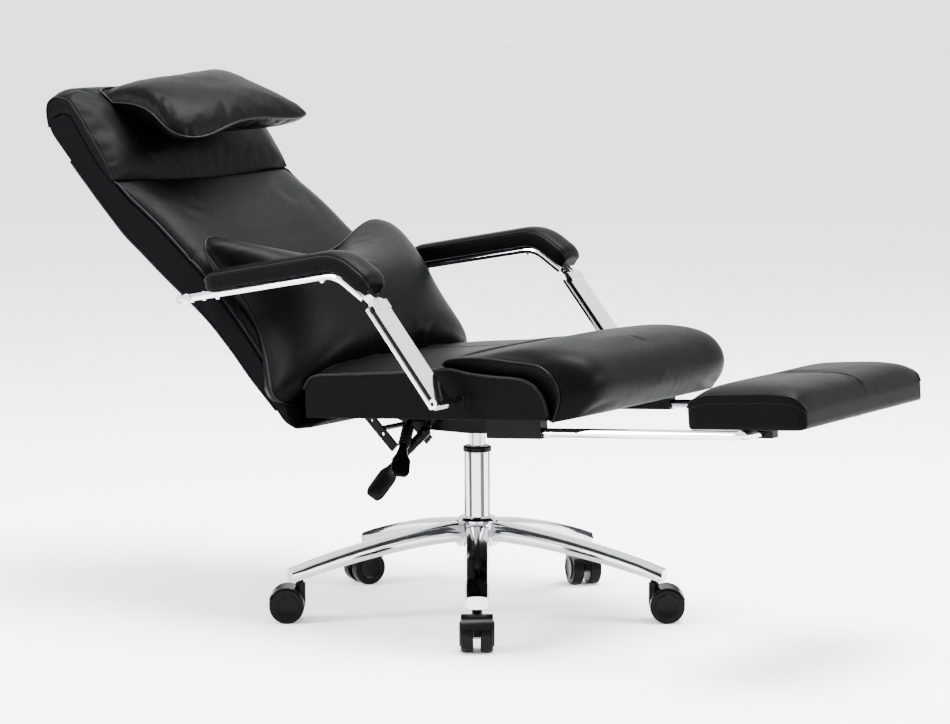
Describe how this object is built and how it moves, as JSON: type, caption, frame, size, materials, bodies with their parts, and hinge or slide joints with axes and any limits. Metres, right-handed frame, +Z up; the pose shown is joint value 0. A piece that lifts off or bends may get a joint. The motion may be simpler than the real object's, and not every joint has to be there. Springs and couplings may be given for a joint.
{
  "type": "reclining office chair with footrest",
  "caption": "High-backed leather office chair that leans back, with linked padded arms, loose pillows, a sliding footrest and a star base on twin-wheel casters.",
  "frame": {"origin": "on the floor, under the middle of the whole chair's footprint with the footrest out and the back leaned back", "axes": "+Z is up, the sitter faces -Y, and the sitter's right-hand side is -X"},
  "size_m": [0.6914, 1.5354, 0.9535],
  "materials": {
    "leather": "satin",
    "chrome": "polished",
    "black_plastic": "satin",
    "hood_plastic": "gloss",
    "wheel_plastic": "satin",
    "black_steel": "satin",
    "bare_steel": "satin",
    "black_cloth": "matte",
    "plywood": "matte"
  },
  "bodies": {
    "base": {"star_base": "chrome", "column_tube": "chrome", "column_bush": "black_plastic"},
    "rotor": {"piston_rod": "bare_steel", "thrust_bearing": "bare_steel", "retaining_clip": "black_steel"},
    "seat": {"gas_cylinder": "bare_steel", "mechanism_housing": "black_steel", "hinge_shaft": "bare_steel", "seat_pan": "plywood", "seat_cushion": "leather", "front_cushion": "leather", "footrest_guide_right": "black_steel", "footrest_guide_left": "black_steel", "arm_bracket_right": "chrome", "arm_bracket_left": "chrome", "link_bolt_right": "chrome", "link_bolt_left": "chrome", "strut_body": "black_steel"},
    "back": {"back_shell": "leather", "back_pad": "leather", "head_pad": "leather", "back_yoke": "black_steel", "head_pillow": "leather", "rear_flap": "black_cloth", "arm_rear_bolt_right": "chrome", "arm_rear_bolt_left": "chrome"},
    "lumbar": {"lumbar_pillow": "leather"},
    "arm_right": {"arm_tube_right": "chrome", "arm_pad_right": "leather"},
    "arm_left": {"arm_tube_left": "chrome", "arm_pad_left": "leather"},
    "link_right": {"arm_link_right": "chrome"},
    "link_left": {"arm_link_left": "chrome"},
    "strut_rod": {"strut_rod": "bare_steel"},
    "footrest_rods": {"footrest_frame": "chrome"},
    "footrest_pad": {"footrest_pad": "leather", "footrest_board": "plywood", "footrest_clip_right": "black_plastic", "footrest_clip_left": "black_plastic"},
    "height_lever": {"height_lever": "black_plastic"},
    "recline_lever": {"recline_lever": "black_plastic"},
    "release_button": {"release_button": "bare_steel"},
    "caster_1": {"caster_hood_1": "hood_plastic"},
    "wheels_1": {"caster_wheel_near_1": "wheel_plastic", "caster_wheel_far_1": "wheel_plastic"},
    "caster_2": {"caster_hood_2": "hood_plastic"},
    "wheels_2": {"caster_wheel_near_2": "wheel_plastic", "caster_wheel_far_2": "wheel_plastic"},
    "caster_3": {"caster_hood_3": "hood_plastic"},
    "wheels_3": {"caster_wheel_near_3": "wheel_plastic", "caster_wheel_far_3": "wheel_plastic"},
    "caster_4": {"caster_hood_4": "hood_plastic"},
    "wheels_4": {"caster_wheel_near_4": "wheel_plastic", "caster_wheel_far_4": "wheel_plastic"},
    "caster_5": {"caster_hood_5": "hood_plastic"},
    "wheels_5": {"caster_wheel_near_5": "wheel_plastic", "caster_wheel_far_5": "wheel_plastic"}
  },
  "joints": [
    {"name": "swivel", "type": "hinge", "parent": "base", "child": "rotor", "pos_m": [-0.00422, -0.00314, 0.1], "axis": [0, 0, 1], "continuous": true},
    {"name": "height", "type": "slide", "parent": "rotor", "child": "seat", "axis": [0, 0, 1], "range_m": [-0.02, 0.08]},
    {"name": "recline", "type": "hinge", "parent": "seat", "child": "back", "pos_m": [-0.00422, 0.19982, 0.36748], "axis": [1, 0, 0], "range_deg": [0, 40]},
    {"name": "footrest_slide", "type": "slide", "parent": "seat", "child": "footrest_rods", "axis": [0, 0.9977, -0.068], "range_m": [0, 0.32]},
    {"name": "footrest_flip", "type": "hinge", "parent": "footrest_rods", "child": "footrest_pad", "pos_m": [-0.00422, -0.65533, 0.3929], "axis": [1, 0, 0], "range_deg": [0, 172]},
    {"name": "strut_stroke", "type": "slide", "parent": "seat", "child": "strut_rod", "axis": [0, 0.9842, -0.1772], "range_m": [0, 0.0393]},
    {"name": "lumbar_slide", "type": "slide", "parent": "back", "child": "lumbar", "axis": [0, 0.6949, 0.7191], "range_m": [0, 0.0582]},
    {"name": "height_pull", "type": "hinge", "parent": "seat", "child": "height_lever", "pos_m": [-0.08222, 0.08529, 0.34742], "axis": [0, 0.9977, -0.068], "range_deg": [0, 8], "stiffness_Nm_per_rad": 0.5, "springref_deg": -5.73},
    {"name": "recline_pull", "type": "hinge", "parent": "seat", "child": "recline_lever", "pos_m": [-0.08222, 0.0394, 0.35055], "axis": [0, 0.9977, -0.068], "range_deg": [0, 8], "stiffness_Nm_per_rad": 0.5, "springref_deg": -5.73},
    {"name": "button_press", "type": "slide", "parent": "seat", "child": "release_button", "axis": [0, 0, 1], "range_m": [-0.003, 0]},
    {"name": "arm_turn_right", "type": "hinge", "parent": "back", "child": "arm_right", "pos_m": [-0.31722, 0.37986, 0.5655], "axis": [1, 0, 0], "range_deg": [-36.6, 0]},
    {"name": "link_turn_right", "type": "hinge", "parent": "seat", "child": "link_right", "pos_m": [-0.31722, -0.13814, 0.4175], "axis": [1, 0, 0], "range_deg": [0, 50]},
    {"name": "arm_turn_left", "type": "hinge", "parent": "back", "child": "arm_left", "pos_m": [0.30878, 0.37986, 0.5655], "axis": [1, 0, 0], "range_deg": [-36.6, 0]},
    {"name": "link_turn_left", "type": "hinge", "parent": "seat", "child": "link_left", "pos_m": [0.30878, -0.13814, 0.4175], "axis": [1, 0, 0], "range_deg": [0, 50]},
    {"name": "caster_turn_1", "type": "hinge", "parent": "base", "child": "caster_1", "pos_m": [-0.27586, -0.18157, 0.0695], "axis": [0, 0, 1], "continuous": true},
    {"name": "wheel_roll_1", "type": "hinge", "parent": "caster_1", "child": "wheels_1", "pos_m": [-0.29514, -0.1941, 0.0305], "axis": [0.5446, -0.8387, 0], "continuous": true},
    {"name": "caster_turn_2", "type": "hinge", "parent": "base", "child": "caster_2", "pos_m": [0.08154, -0.31662, 0.0695], "axis": [0, 0, 1], "continuous": true},
    {"name": "wheel_roll_2", "type": "hinge", "parent": "caster_2", "child": "wheels_2", "pos_m": [0.09407, -0.33591, 0.0305], "axis": [0.8387, 0.5446, 0], "continuous": true},
    {"name": "caster_turn_3", "type": "hinge", "parent": "base", "child": "caster_3", "pos_m": [0.32042, -0.01845, 0.0695], "axis": [0, 0, 1], "continuous": true},
    {"name": "wheel_roll_3", "type": "hinge", "parent": "caster_3", "child": "wheels_3", "pos_m": [0.30533, -0.03581, 0.0305], "axis": [0.7547, -0.6561, 0], "continuous": true},
    {"name": "caster_turn_4", "type": "hinge", "parent": "base", "child": "caster_4", "pos_m": [0.11066, 0.30088, 0.0695], "axis": [0, 0, 1], "continuous": true},
    {"name": "wheel_roll_4", "type": "hinge", "parent": "caster_4", "child": "wheels_4", "pos_m": [0.08999, 0.31096, 0.0305], "axis": [-0.4384, -0.8988, 0], "continuous": true},
    {"name": "caster_turn_5", "type": "hinge", "parent": "base", "child": "caster_5", "pos_m": [-0.25786, 0.20006, 0.0695], "axis": [0, 0, 1], "continuous": true},
    {"name": "wheel_roll_5", "type": "hinge", "parent": "caster_5", "child": "wheels_5", "pos_m": [-0.27038, 0.21935, 0.0305], "axis": [-0.8387, -0.5446, 0], "continuous": true}
  ],
  "couplings": [
    {"joint": "footrest_flip", "follows": "footrest_slide", "rad_per_m": 9.38},
    {"joint": "strut_stroke", "follows": "recline", "m_per_rad": 0.056},
    {"joint": "lumbar_slide", "follows": "recline", "m_per_rad": 0.083},
    {"joint": "button_press", "follows": "height_pull", "m_per_rad": -0.0214},
    {"joint": "arm_turn_right", "follows": "recline", "ratio": -0.913},
    {"joint": "link_turn_right", "follows": "recline", "ratio": 1.248},
    {"joint": "arm_turn_left", "follows": "recline", "ratio": -0.913},
    {"joint": "link_turn_left", "follows": "recline", "ratio": 1.248}
  ]
}
